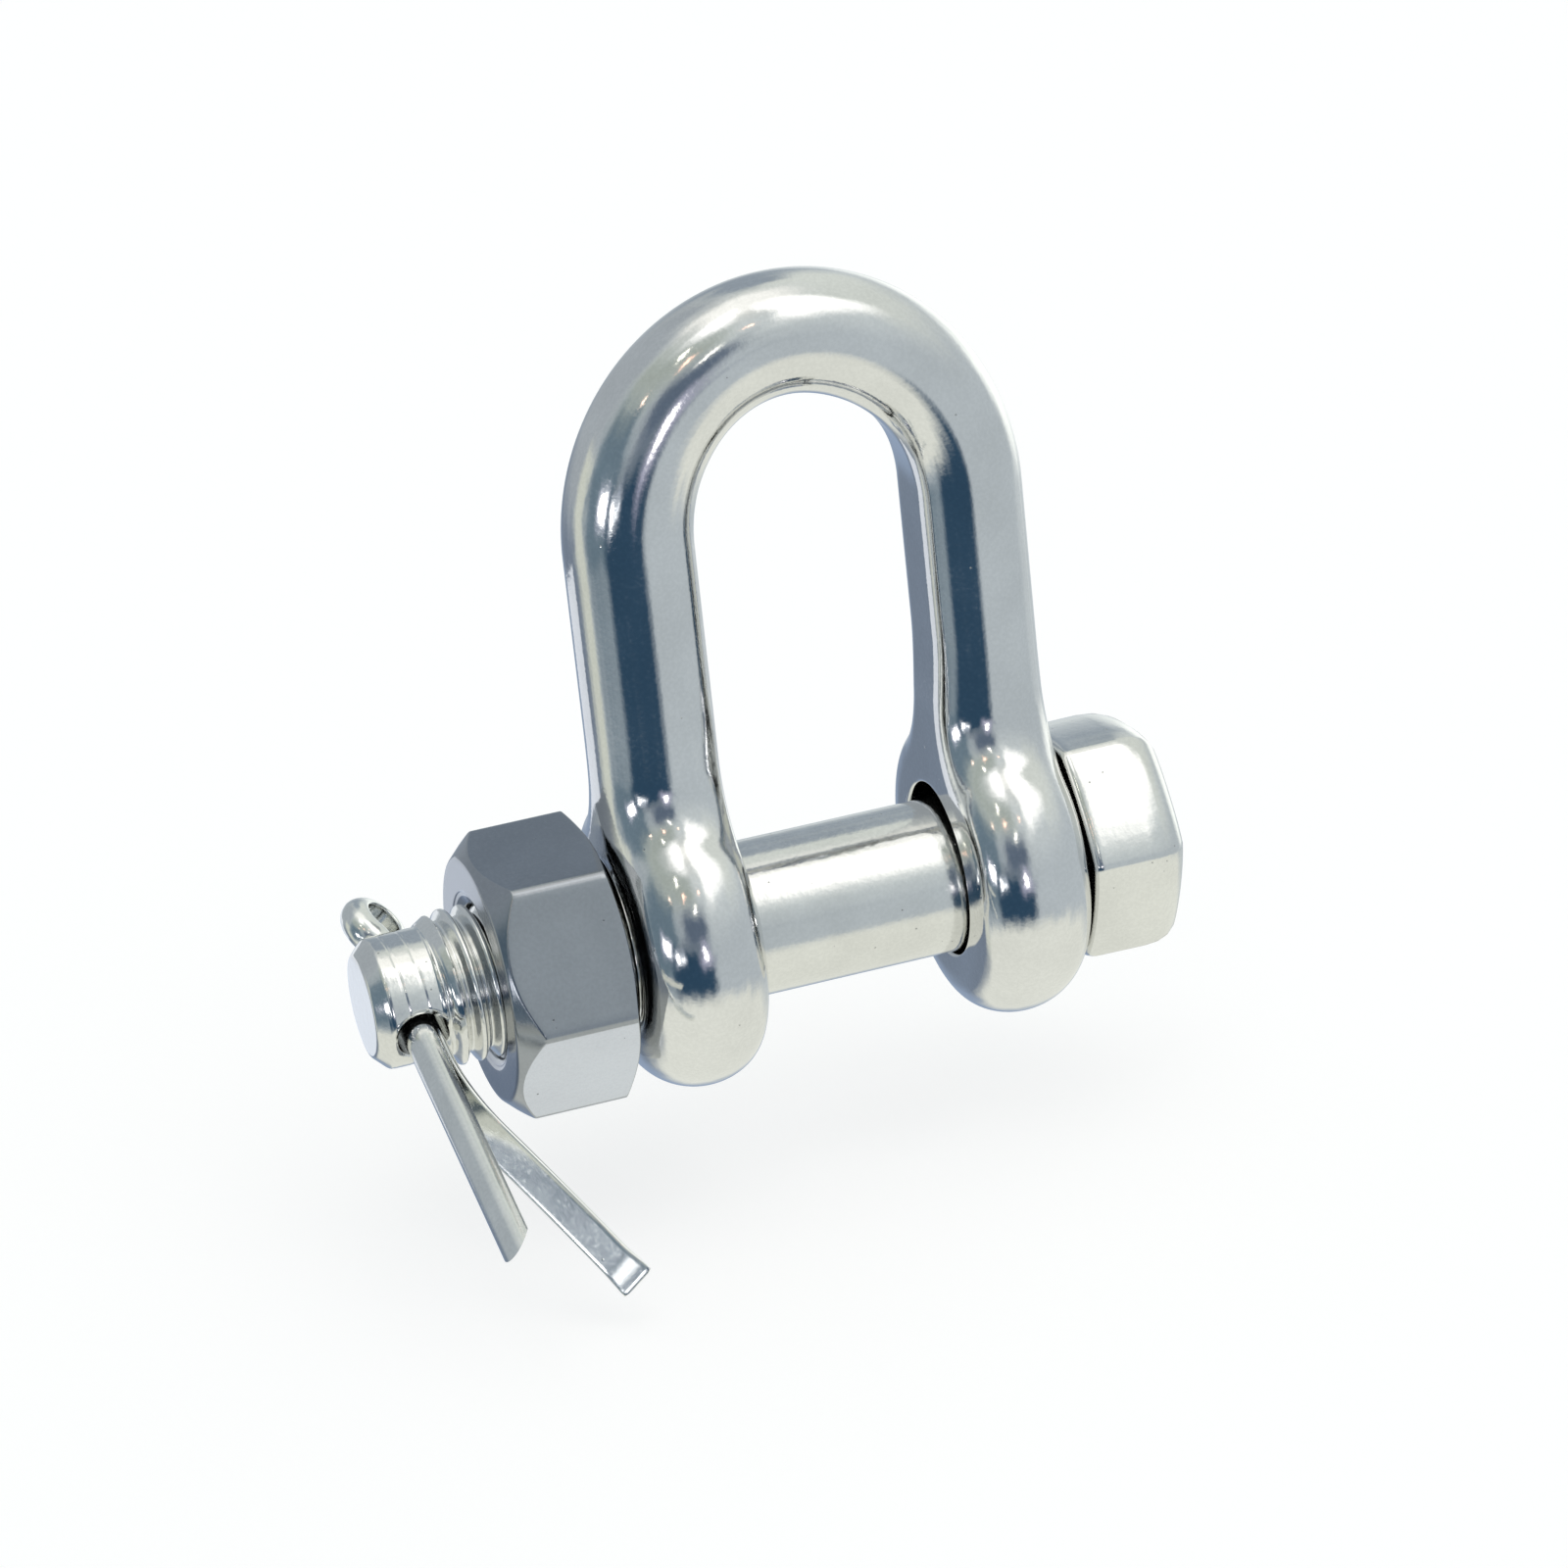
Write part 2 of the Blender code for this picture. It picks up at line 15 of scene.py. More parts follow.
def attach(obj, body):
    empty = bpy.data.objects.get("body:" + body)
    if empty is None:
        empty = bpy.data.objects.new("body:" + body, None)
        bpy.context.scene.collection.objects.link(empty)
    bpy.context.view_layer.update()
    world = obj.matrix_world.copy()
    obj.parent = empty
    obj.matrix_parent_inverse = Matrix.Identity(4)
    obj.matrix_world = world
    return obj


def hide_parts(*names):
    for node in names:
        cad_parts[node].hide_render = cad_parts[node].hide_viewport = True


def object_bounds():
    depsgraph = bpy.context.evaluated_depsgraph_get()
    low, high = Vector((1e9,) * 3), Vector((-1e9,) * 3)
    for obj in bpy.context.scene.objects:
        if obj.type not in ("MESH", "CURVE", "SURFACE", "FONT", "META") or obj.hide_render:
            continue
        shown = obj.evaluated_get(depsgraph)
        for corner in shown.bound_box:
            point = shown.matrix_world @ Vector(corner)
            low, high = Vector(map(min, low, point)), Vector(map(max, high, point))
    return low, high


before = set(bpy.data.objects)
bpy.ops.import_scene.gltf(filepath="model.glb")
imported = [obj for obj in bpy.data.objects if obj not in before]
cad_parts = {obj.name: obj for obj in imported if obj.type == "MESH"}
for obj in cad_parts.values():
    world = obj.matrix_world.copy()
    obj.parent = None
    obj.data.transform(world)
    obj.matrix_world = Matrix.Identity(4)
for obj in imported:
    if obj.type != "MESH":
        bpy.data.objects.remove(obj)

CAD_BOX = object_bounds()
MM = 0.001
TAU = 2 * math.pi

# Merge distances, in metres
WELD = 1e-6
DEGENERATE = 1e-7
SLIVER = 2e-6

# Bow
JAW_X = 11.3
LEG_FLAT = 5.75
LEG_X = JAW_X + LEG_FLAT
LEG_OUTER = 6.75
LEG_DEPTH = 6.9
CROWN_BAR = 6.2
CROWN_Z = 42.3
CROWN_RISE = 18.8
NECK_FILLET = 8.0
EYE_Z = 0.7
EYE_RADIUS = 16.15
EYE_OUTER = 6.85
EYE_OUTER_ROUND = 6.3
EYE_INNER_ROUND = 4.4
HOLE_RADIUS = 9.0
HOLE_ROUND = 0.5
FLAT_EDGE_ROUND = 1.1
RIGHT_LEG_RELIEF = 0.9
RELIEF_START_Z = 13.0
RELIEF_FULL_Z = 27.0
EYE_SECTION_Z = 9.0
LEG_SECTION_Z = 24.0

# Bolt
SHANK_RADIUS = 8.0
PITCH = 2.0
CREST_PHASE = 1.779
CREST_RADIUS = 7.9
ROOT_RADIUS = 6.75
THREAD_START = -24.6
THREAD_END = -43.4
CREST_HALF = 0.2
THREAD_SOFT = 0.16
THREAD_FLANK = math.radians(30.0)
RUN_IN_SLOPE = 4.0
RUN_OUT_SLOPE = 0.6
TIP_RADIUS = 6.7
TIP_X = -50.1
TIP_CHAMFER = 1.5
HEAD_BACK_X = 24.1
HEAD_LIFT = 0.6
HEAD_RIM_X = 34.2
HEAD_DOME = 1.2
HEAD_APOTHEM = 11.95
HEAD_CORNER = 13.3
HEAD_SOFT = 2.6
HEAD_ROUND = 4.5
HEAD_ANGLE = math.radians(82.0)

# Nut
NUT_BACK_X = -25.0
NUT_FRONT_X = -37.8
NUT_CORNER = 15.0
NUT_CORNER_ROUND = 1.2
NUT_FRONT_RADIUS = 12.5
NUT_FRONT_SLOPE = 2.6 / 2.5
NUT_BACK_RADIUS = 12.7
NUT_BACK_SLOPE = 0.8 / 2.3
NUT_ANGLE = math.radians(-25.6)
NUT_BORE = 7.1
NUT_GROOVE = 8.25
NUT_SINK = 9.1

# Split pin
HOLE_X = -45.6
HOLE_SLOPE = math.radians(18.0)
CROSS_HOLE = 2.65
LIP_WIDTH = 0.75
LIP_DEPTH = 0.55
PIN_ROLL = math.radians(42.0)
WIRE = 1.85
LEG_GAP = 0.15
PIN_EYE = 1.95
PIN_EYE_Y = -10.9
PIN_NECK = 2.0
PIN_LONG = 40.4
PIN_SHORT = 36.9
BEND_START = 10.2
BEND_RADIUS = 15.0
BEND_ANGLE = math.radians(40.0)
BENT_LENGTH = 40.2
LEG_SWEEP = 0.05
PRESS_LENGTH = 3.2
PRESS_THIN = 0.45
PRESS_SHIFT = 0.25
PRESS_WIDE = 0.10
SLANT_LENGTH = 9.0
END_DOME = 0.08
END_DOME_SCALE = 0.9

# Camera. The view is VIEW_WIDTH across at the origin, which lies VIEW_ACROSS to the right of the
# picture's middle and VIEW_UP below it.
VIEW_AZIMUTH = math.radians(-16.3)
VIEW_ELEVATION = math.radians(22.84)
VIEW_ROLL = math.radians(6.19)
VIEW_WIDTH = 159.665
VIEW_ACROSS = 5.0893
VIEW_UP = 11.6755
CAMERA_DISTANCE = 651.1
SENSOR_WIDTH = 36.0

# Stage
STAGE_RADIUS = 3.0
FLOOR_DROP = 4.0
FLOOR_EMISSION = 0.7
FLOOR_TINT = 0.4
BACKDROP_EMISSION = 1.05

# Studio, seen in the steel. Its patches were placed to give the reflections that the photo shows.
# Colours are 8-bit display colours as the steel shows them, and STEEL_TONE is the share of light
# that the steel reflects. Angles are degrees. The surroundings fade from FLOOR_GLOW, each between
# two elevations. A patch is (azimuth from the front towards +X, elevation, half width, half height,
# softness, colour, gain). EDGE_DRIFT is how far the patches' edges wander.
STEEL_TONE = 0.8
EDGE_DRIFT = 5.0
FLOOR_GLOW = (214, 216, 208)
SURROUNDINGS = (
    (-36.0, -24.0, (172, 180, 185)),
    (0.0, 45.0, (196, 203, 204)),
    (45.0, 75.0, (206, 209, 206)),
)
STUDIO = (
    (-143.0, 25.0, 40.0, 36.0, 12.0, (156, 163, 169), 1.0),
    (-148.0, -26.0, 34.0, 18.0, 10.0, (112, 123, 138), 1.0),
    (-73.0, 8.0, 27.0, 32.0, 12.0, (100, 117, 129), 1.0),
    (-112.0, -12.0, 10.0, 26.0, 6.0, (196, 200, 190), 1.0),
    (-55.0, 47.0, 46.0, 13.0, 14.0, (158, 166, 161), 1.0),
    (-16.0, 19.0, 22.0, 14.0, 10.0, (90, 102, 118), 1.0),
    (-27.0, -12.0, 31.0, 18.0, 8.0, (48, 70, 90), 1.0),
    (120.0, 45.0, 60.0, 22.0, 15.0, (203, 208, 203), 1.0),
    (168.0, 32.0, 13.0, 27.0, 8.0, (140, 150, 160), 1.0),
    (175.0, -32.0, 18.0, 13.0, 8.0, (135, 150, 172), 1.0),
    (0.0, 90.0, 180.0, 19.0, 7.0, (250, 250, 245), 1.0),
    (44.0, 58.0, 24.0, 21.0, 9.0, (255, 255, 252), 1.25),
    (-34.0, 73.0, 25.0, 10.0, 9.0, (255, 255, 253), 1.3),
    (-68.0, 0.0, 7.0, 5.0, 4.0, (176, 180, 196), 1.0),
    (-46.0, -1.0, 7.0, 5.0, 4.0, (176, 184, 196), 1.0),
    (-4.0, 2.0, 8.0, 8.0, 6.0, (176, 176, 196), 1.0),
    (-68.0, 0.0, 3.0, 2.5, 2.0, (255, 255, 255), 6.0),
    (-46.0, -2.0, 2.6, 2.3, 2.0, (255, 255, 255), 6.0),
    (-4.0, 2.0, 3.0, 3.0, 2.0, (255, 252, 250), 6.0),
    (-57.0, 36.0, 2.0, 1.5, 2.0, (255, 222, 200), 3.0),
    (-40.0, 50.0, 3.0, 1.5, 2.0, (255, 250, 235), 4.0),
    (-27.0, 42.0, 2.5, 1.5, 2.0, (255, 200, 175), 3.0),
    (-12.0, 36.0, 1.8, 1.6, 2.0, (255, 250, 240), 4.0),
    (3.0, 45.0, 2.2, 1.6, 2.0, (255, 205, 180), 3.0),
    (136.0, -4.0, 25.0, 13.0, 9.0, (246, 250, 246), 1.1),
)

# Mesh helpers


def smoothstep(low, high, value):
    t = np.clip((value - low) / (high - low), 0.0, 1.0)
    return t * t * (3 - 2 * t)


def smooth_min(a, b, k):
    h = np.clip(0.5 + 0.5 * (b - a) / k, 0.0, 1.0)
    return b + (a - b) * h - k * h * (1 - h)


def smooth_max(a, b, k):
    return -smooth_min(-a, -b, k)


def lattice(rows, columns, start=0, closed=False):
    """Quads over a grid of points stored row by row; closed joins the last column to the first."""
    quads = []
    spans = columns if closed else columns - 1
    for r in range(rows - 1):
        for c in range(spans):
            d = (c + 1) % columns
            low = start + r * columns
            quads.append((low + c, low + d, low + columns + d, low + columns + c))
    return quads


def resample(points, count):
    """The polyline's points moved to even spacing along it."""
    points = np.asarray(points, float)
    step = np.linalg.norm(np.diff(points, axis=0), axis=1)
    along = np.concatenate([[0.0], np.cumsum(step)])
    at = np.linspace(0.0, along[-1], count)
    return np.stack([np.interp(at, along, points[:, k]) for k in range(points.shape[1])], axis=1)


def round_corner(before, corner, after, count):
    """Points of a small blend between two points that lie either side of a corner."""
    t = np.linspace(0.0, 1.0, count)[:, None]
    return (1 - t) ** 2 * before + 2 * t * (1 - t) * corner + t**2 * after


def make_piece(name, points, faces, body, node, material, smooth_angle=None):
    """A closed, smooth-shaded piece that rides a body and stands for a CAD node."""
    mesh = bpy.data.meshes.new(name)
    mesh.from_pydata((np.asarray(points) * MM).tolist(), [], faces)
    bm = bmesh.new()
    bm.from_mesh(mesh)
    bmesh.ops.remove_doubles(bm, verts=bm.verts, dist=WELD)
    bmesh.ops.dissolve_degenerate(bm, edges=bm.edges, dist=DEGENERATE)
    bmesh.ops.recalc_face_normals(bm, faces=bm.faces)
    bm.to_mesh(mesh)
    bm.free()
    mesh.shade_smooth()
    if smooth_angle:
        mesh.set_sharp_from_angle(angle=smooth_angle)
    piece = bpy.data.objects.new(name, mesh)
    bpy.context.scene.collection.objects.link(piece)
    mesh.materials.append(material)
    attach(piece, body)
    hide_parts(node)
    return piece


# Bow


def leg_row(y, z, inward, reach, side):
    """A row that runs across the leg or eye from the outline point (y, z) inwards."""
    eye = float(1 - smoothstep(EYE_SECTION_Z, LEG_SECTION_Z, z))
    relief = side * RIGHT_LEG_RELIEF * float(smoothstep(RELIEF_START_Z, RELIEF_FULL_Z, z))
    flat = LEG_FLAT - relief
    inner = LEG_OUTER - relief + (LEG_FLAT * 1.001 - LEG_OUTER) * eye
    return {
        "origin": np.array([LEG_X, y, z]),
        "outward": np.array([1.0, 0.0, 0.0]),
        "inward": np.array([0.0, inward[0], inward[1]]),
        "reach": reach,
        "outer": LEG_OUTER + (EYE_OUTER - LEG_OUTER) * eye,
        "outer_round": LEG_DEPTH + (EYE_OUTER_ROUND - LEG_DEPTH) * eye,
        "inner": inner,
        "inner_round": LEG_DEPTH + (EYE_INNER_ROUND - LEG_DEPTH) * eye,
        "flat": flat,
    }


def crown_row(turn, side):
    """A row across the crown's bar, square to its curve."""
    share = math.sin(turn)
    centre = np.array([LEG_X * math.cos(turn), 0.0, CROWN_Z + CROWN_RISE * math.sin(turn)])
    outward = np.array([CROWN_RISE * math.cos(turn), 0.0, LEG_X * math.sin(turn)])
    outward /= np.linalg.norm(outward)
    depth = LEG_DEPTH + (CROWN_BAR - LEG_DEPTH) * share
    fade = float(smoothstep(math.radians(15), math.radians(80), turn))
    relief = side * RIGHT_LEG_RELIEF * (1 - fade)
    inner = LEG_OUTER + (CROWN_BAR - LEG_OUTER) * share - relief
    flat = LEG_FLAT + (CROWN_BAR - LEG_FLAT) * share - relief
    return {
        "origin": centre + np.array([0.0, depth, 0.0]),
        "outward": outward,
        "inward": np.array([0.0, -1.0, 0.0]),
        "reach": depth,
        "outer": LEG_OUTER + (CROWN_BAR - LEG_OUTER) * share,
        "outer_round": depth,
        "inner": inner,
        "inner_round": depth,
        "flat": min(flat, inner * 0.992),
    }


def bow_rows(side):
    """Rows from the crown's middle down one leg and round its eye, and the first row at the hole."""
    rows = [crown_row(turn, side) for turn in np.linspace(math.pi / 2, 0.0, 47)]
    fillet = np.array([LEG_DEPTH + NECK_FILLET, 0.0])
    span = math.sqrt((EYE_RADIUS + NECK_FILLET) ** 2 - fillet[0] ** 2)
    fillet[1] = EYE_Z + span
    for z in np.linspace(CROWN_Z, fillet[1], 26)[1:-1]:
        rows.append(leg_row(LEG_DEPTH, z, (-1.0, 0.0), LEG_DEPTH, side))
    rim = HOLE_RADIUS + HOLE_ROUND
    split_turn = math.atan2(span - rim, fillet[0])
    last_turn = math.atan2(span, fillet[0])
    for turn in np.linspace(0.0, split_turn, 14):
        inward = np.array([-math.cos(turn), -math.sin(turn)])
        point = fillet + NECK_FILLET * inward
        rows.append(leg_row(*point, inward, point[0] / math.cos(turn), side))
    first_open = len(rows) - 1
    for turn in np.linspace(split_turn, last_turn, 9)[1:]:
        inward = np.array([-math.cos(turn), -math.sin(turn)])
        point = fillet + NECK_FILLET * inward
        offset = point - np.array([0.0, EYE_Z])
        along = offset @ inward
        reach = -along - math.sqrt(along**2 - offset @ offset + rim**2)
        rows.append(leg_row(*point, inward, reach, side))
    start = math.atan2(fillet[0], span)
    for angle in np.linspace(start, math.pi, 62)[1:]:
        out = np.array([math.sin(angle), math.cos(angle)])
        point = np.array([0.0, EYE_Z]) + EYE_RADIUS * out
        rows.append(leg_row(*point, -out, EYE_RADIUS - rim, side))
    return rows, first_open


def at(row, outward, inward):
    return row["origin"] + outward * row["outward"] + inward * row["inward"]


def row_points(row):
    """Points from the outer centre line over the rim, and across the flat to the inner one."""
    quarter = np.linspace(math.pi / 2, 0.0, 90)
    outer = [(row["outer"], row["reach"])]
    outer += [
        (row["outer"] * math.sin(a), row["outer_round"] * (1 - math.cos(a))) for a in quarter
    ]
    limit = math.asin(min(1.0, row["flat"] / row["inner"]))
    inner = np.array(
        [
            (-row["inner"] * math.sin(a), row["inner_round"] * (1 - math.cos(a)))
            for a in np.linspace(0.0, limit, 160)
        ]
    )
    corner = inner[-1]
    along = np.concatenate([[0.0], np.cumsum(np.linalg.norm(np.diff(inner, axis=0), axis=1))])
    cut = min(FLAT_EDGE_ROUND, 0.4 * (row["reach"] - corner[1]))
    enter = np.array([np.interp(along[-1] - cut, along, inner[:, k]) for k in (0, 1)])
    kept = np.concatenate([inner[along < along[-1] - cut], [enter]])
    leave = corner + np.array([0.0, cut])
    blend = round_corner(enter, corner, leave, 7)[1:]
    flat = np.linspace(leave, np.array([-row["flat"], row["reach"]]), 7)[1:]
    plan = np.concatenate([resample(outer, 27), resample(kept, 21)[1:], blend, flat])
    return np.array([at(row, o, d) for o, d in plan])


def hole_points(row):
    """Points round the hole's inner edge, along its wall and round its outer edge."""
    centre = np.array([LEG_X, 0.0, EYE_Z])
    inner = at(row, -row["flat"], row["reach"])
    radial = np.array([0.0, inner[1], inner[2] - EYE_Z])
    radial /= np.linalg.norm(radial)

    def place(outward, radius):
        return centre + np.array([outward, 0.0, 0.0]) + radial * radius

    rim = HOLE_RADIUS + HOLE_ROUND
    low, high = -row["flat"], row["outer"]
    inner_edge = round_corner(
        place(low, rim), place(low, HOLE_RADIUS), place(low + HOLE_ROUND, HOLE_RADIUS), 6
    )
    ends = (place(low + HOLE_ROUND, HOLE_RADIUS), place(high - HOLE_ROUND, HOLE_RADIUS))
    wall = np.linspace(*ends, 9)
    outer_edge = round_corner(
        place(high - HOLE_ROUND, HOLE_RADIUS), place(high, HOLE_RADIUS), place(high, rim), 6
    )
    return np.concatenate([inner_edge, wall[1:-1], outer_edge])


def build_bow(material):
    points, faces = [], []
    for side in (0, 1):
        rows, first_open = bow_rows(side)
        skin = np.array([row_points(row) for row in rows])
        bore = np.array([hole_points(row) for row in rows[first_open:]])
        for flip in (1.0, -1.0):
            mirror = np.array([1.0 if side else -1.0, flip, 1.0])
            for grid in (skin, bore):
                faces += lattice(grid.shape[0], grid.shape[1], start=len(points))
                points += list((grid * mirror).reshape(-1, 3))
    make_piece("bow_forging", points, faces, "bow_body", "bow", material)


# Bolt


def crest_offset(x, angle):
    """Distance along the bolt from the nearest crest of its right-hand thread."""
    phase = x - CREST_PHASE - PITCH * angle / TAU
    return np.abs((phase + PITCH / 2) % PITCH - PITCH / 2)


def thread_radius(x, angle, crest, root, crest_half, soft):
    slope = crest - (crest_offset(x, angle) - crest_half) / math.tan(THREAD_FLANK)
    return smooth_max(smooth_min(slope, crest, soft), root, soft)


def head_radius(angle):
    """The forged head's soft hexagon."""
    local = (angle - HEAD_ANGLE + TAU) % (TAU / 6) - TAU / 12
    flat = HEAD_APOTHEM / np.cos(local)
    return smooth_min(flat, HEAD_CORNER, HEAD_SOFT)


def spin(angle, x, radius):
    return np.stack([x, -radius * np.sin(angle), radius * np.cos(angle)], axis=-1)


def chain(corners, rounds, steps):
    """A polyline through corners, each rounded by its radius, with the spans cut into steps."""
    corners = [np.array(c, float) for c in corners]
    path = [corners[0]]
    for i, corner in enumerate(corners[1:], 1):
        before = path[-1]
        if i < len(corners) - 1:
            back = before - corner
            ahead = corners[i + 1] - corner
            near = min(rounds[i], 0.45 * np.linalg.norm(back), 0.45 * np.linalg.norm(ahead))
            enter = corner + back / np.linalg.norm(back) * near
            leave = corner + ahead / np.linalg.norm(ahead) * near
        else:
            enter = leave = corner
        span = np.linspace(before, enter, steps[i - 1] + 1)[1:]
        path += list(span)
        if i < len(corners) - 1:
            path += list(round_corner(enter, corner, leave, 6)[1:])
    return np.array(path)


def head_surface(angles):
    """Rows from the head's dome over its rim and back face, and along the plain shank."""
    top = HEAD_RIM_X + HEAD_DOME
    columns = []
    for radius in head_radius(angles):
        dome = [(top - HEAD_DOME * s**2, radius * s) for s in np.linspace(0.03, 0.3, 6)]
        shoulder = chain(
            [
                dome[-1],
                (HEAD_RIM_X + 0.1, radius * 0.99),
                (HEAD_BACK_X, radius * 0.98),
                (HEAD_BACK_X, SHANK_RADIUS + 0.3),
                (HEAD_BACK_X - 0.3, SHANK_RADIUS),
                (THREAD_START + 0.4, SHANK_RADIUS),
            ],
            [0, HEAD_ROUND, 0.9, 0.2, 0.2, 0],
            [10, 14, 5, 2, 40],
        )
        columns.append(np.array(dome[:-1] + list(shoulder)))
    profile = np.array(columns).transpose(1, 0, 2)
    x, radius = profile[:, :, 0], profile[:, :, 1]
    rows = spin(angles[None, :], x, radius)
    lift = np.maximum(smoothstep(8.3, 10.0, radius), smoothstep(28.0, 30.0, x))
    rows[:, :, 2] += HEAD_LIFT * lift
    return rows


def thread_surface(angles):
    """Rows along the thread, which rises out of the shank and runs down into the tip."""
    xs = np.arange(THREAD_START + 0.3, THREAD_END, -0.085)
    x, angle = np.meshgrid(xs, angles, indexing="ij")
    thread = thread_radius(x, angle, CREST_RADIUS, ROOT_RADIUS, CREST_HALF, THREAD_SOFT)
    run_in = SHANK_RADIUS - (THREAD_START - x) * RUN_IN_SLOPE
    run_out = ROOT_RADIUS + (x - THREAD_END) * RUN_OUT_SLOPE
    thread = np.maximum(thread, np.minimum(SHANK_RADIUS, run_in))
    thread = smooth_max(smooth_min(thread, run_out, 0.2), TIP_RADIUS, 0.1)
    return spin(angle, x, thread)


def tip_surface(angles):
    """Rows along the plain tip to its end, with a faint trace of the thread's last turns."""
    profile = chain(
        [
            (THREAD_END - 0.05, TIP_RADIUS),
            (TIP_X + TIP_CHAMFER, TIP_RADIUS),
            (TIP_X, TIP_RADIUS - TIP_CHAMFER),
            (TIP_X, 0.15),
        ],
        [0, 0.35, 0.25, 0],
        [38, 9, 12],
    )
    x = np.repeat(profile[:, :1], len(angles), axis=1)
    radius = np.repeat(profile[:, 1:], len(angles), axis=1)
    angle = np.repeat(angles[None, :], len(profile), axis=0)
    trace = np.exp(-((crest_offset(x, angle) - PITCH / 2) / 0.1) ** 2)
    radius = radius - 0.05 * trace * smoothstep(TIP_RADIUS - 0.5, TIP_RADIUS - 0.2, radius)
    return spin(angle, x, radius)


def hole_direction():
    return np.array([0.0, -math.cos(HOLE_SLOPE), -math.sin(HOLE_SLOPE)])


def sink_hole_lips(points):
    """Press the surface in round the cross hole's two mouths, so the drill leaves a rounded lip."""
    offset = points - np.array([HOLE_X, 0.0, 0.0])
    axis = hole_direction()
    along = offset @ axis
    away = np.linalg.norm(offset - along[..., None] * axis, axis=-1)
    near = 1 - smoothstep(CROSS_HOLE - 0.1, CROSS_HOLE + LIP_WIDTH, away)
    skin = np.linalg.norm(points[..., 1:], axis=-1) > TIP_RADIUS - 0.6
    press = LIP_DEPTH * near**1.5 * skin
    radial = points.copy()
    radial[..., 0] = 0.0
    radial /= np.maximum(np.linalg.norm(radial, axis=-1, keepdims=True), 1e-6)
    return points - radial * press[..., None]


def build_bolt(material):
    angles = np.linspace(0.0, TAU, 181)[:-1]
    sections = [head_surface(angles), thread_surface(angles), tip_surface(angles)]
    surface = sink_hole_lips(np.concatenate(sections))
    rows, count = surface.shape[:2]
    points = list(surface.reshape(-1, 3))
    faces = lattice(rows, count, closed=True)
    for row, x in ((0, HEAD_RIM_X + HEAD_DOME), (rows - 1, TIP_X)):
        points.append(np.array([x, 0.0, HEAD_LIFT if row == 0 else 0.0]))
        pole = len(points) - 1
        start = row * count
        faces += [(start + c, start + (c + 1) % count, pole) for c in range(count)]
    bolt = make_piece("bolt_bar", points, faces, "bolt_body", "bolt", material)
    drill_hole(bolt)


def find_shells(bm):
    """The mesh's faces in connected groups, smallest first."""
    shells, seen = [], set()
    for first in bm.faces:
        if first in seen:
            continue
        shell, queue = [], [first]
        seen.add(first)
        while queue:
            face = queue.pop()
            shell.append(face)
            for edge in face.edges:
                for other in edge.link_faces:
                    if other not in seen:
                        seen.add(other)
                        queue.append(other)
        shells.append(shell)
    return sorted(shells, key=len)


def clean_cut(mesh):
    """Merge the slivers that a cut leaves along its edge, and keep only the largest shell."""
    bm = bmesh.new()
    bm.from_mesh(mesh)
    for _ in range(2):
        bmesh.ops.remove_doubles(bm, verts=bm.verts, dist=SLIVER)
        bmesh.ops.dissolve_degenerate(bm, edges=bm.edges, dist=SLIVER)
        bmesh.ops.triangulate(bm, faces=[face for face in bm.faces if len(face.verts) > 4])
    stray = [face for shell in find_shells(bm)[:-1] for face in shell]
    bmesh.ops.delete(bm, geom=stray, context="FACES")
    bm.to_mesh(mesh)
    bm.free()
    mesh.shade_smooth()


def drill_hole(bolt):
    """Cut the cross hole and keep the result as the bolt's own mesh."""
    bm = bmesh.new()
    bmesh.ops.create_cone(
        bm,
        cap_ends=True,
        segments=96,
        radius1=CROSS_HOLE * MM,
        radius2=CROSS_HOLE * MM,
        depth=3 * SHANK_RADIUS * MM,
    )
    mesh = bpy.data.meshes.new("drill")
    bm.to_mesh(mesh)
    bm.free()
    mesh.shade_smooth()
    drill = bpy.data.objects.new("drill", mesh)
    bpy.context.scene.collection.objects.link(drill)
    drill.rotation_euler = Vector(hole_direction()).to_track_quat("Z", "X").to_euler()
    drill.location = (HOLE_X * MM, 0.0, 0.0)
    cut = bolt.modifiers.new("Cross hole", "BOOLEAN")
    cut.operation = "DIFFERENCE"
    cut.solver = "EXACT"
    cut.object = drill
    bpy.context.view_layer.update()
    graph = bpy.context.evaluated_depsgraph_get()
    result = bpy.data.meshes.new_from_object(bolt.evaluated_get(graph))
    bolt.modifiers.clear()
    bolt.data = result
    clean_cut(result)
    result.set_sharp_from_angle(angle=math.radians(35))
    bpy.data.objects.remove(drill)


# Nut


def nut_outline():
    """Angles and radii of the hexagon, with its six corners slightly rounded."""
    apothem = NUT_CORNER * math.cos(math.pi / 6)
    inset = NUT_CORNER - NUT_CORNER_ROUND / math.cos(math.pi / 6)

    def place(middle, angle):
        centre = inset * np.array([math.sin(middle), math.cos(middle)])
        return centre + NUT_CORNER_ROUND * np.array([math.sin(angle), math.cos(angle)])

    points = []
    for corner in range(6):
        middle = corner * TAU / 6
        ahead = middle + TAU / 6
        points += [place(middle, middle + a) for a in np.linspace(-math.pi / 6, math.pi / 6, 7)]
        points += list(np.linspace(points[-1], place(ahead, ahead - math.pi / 6), 26)[1:-1])
    points = np.array(points)
    radius = np.minimum(np.linalg.norm(points, axis=1), NUT_CORNER)
    angle = np.arctan2(points[:, 0], points[:, 1]) + NUT_ANGLE
    return angle, np.maximum(radius, apothem)


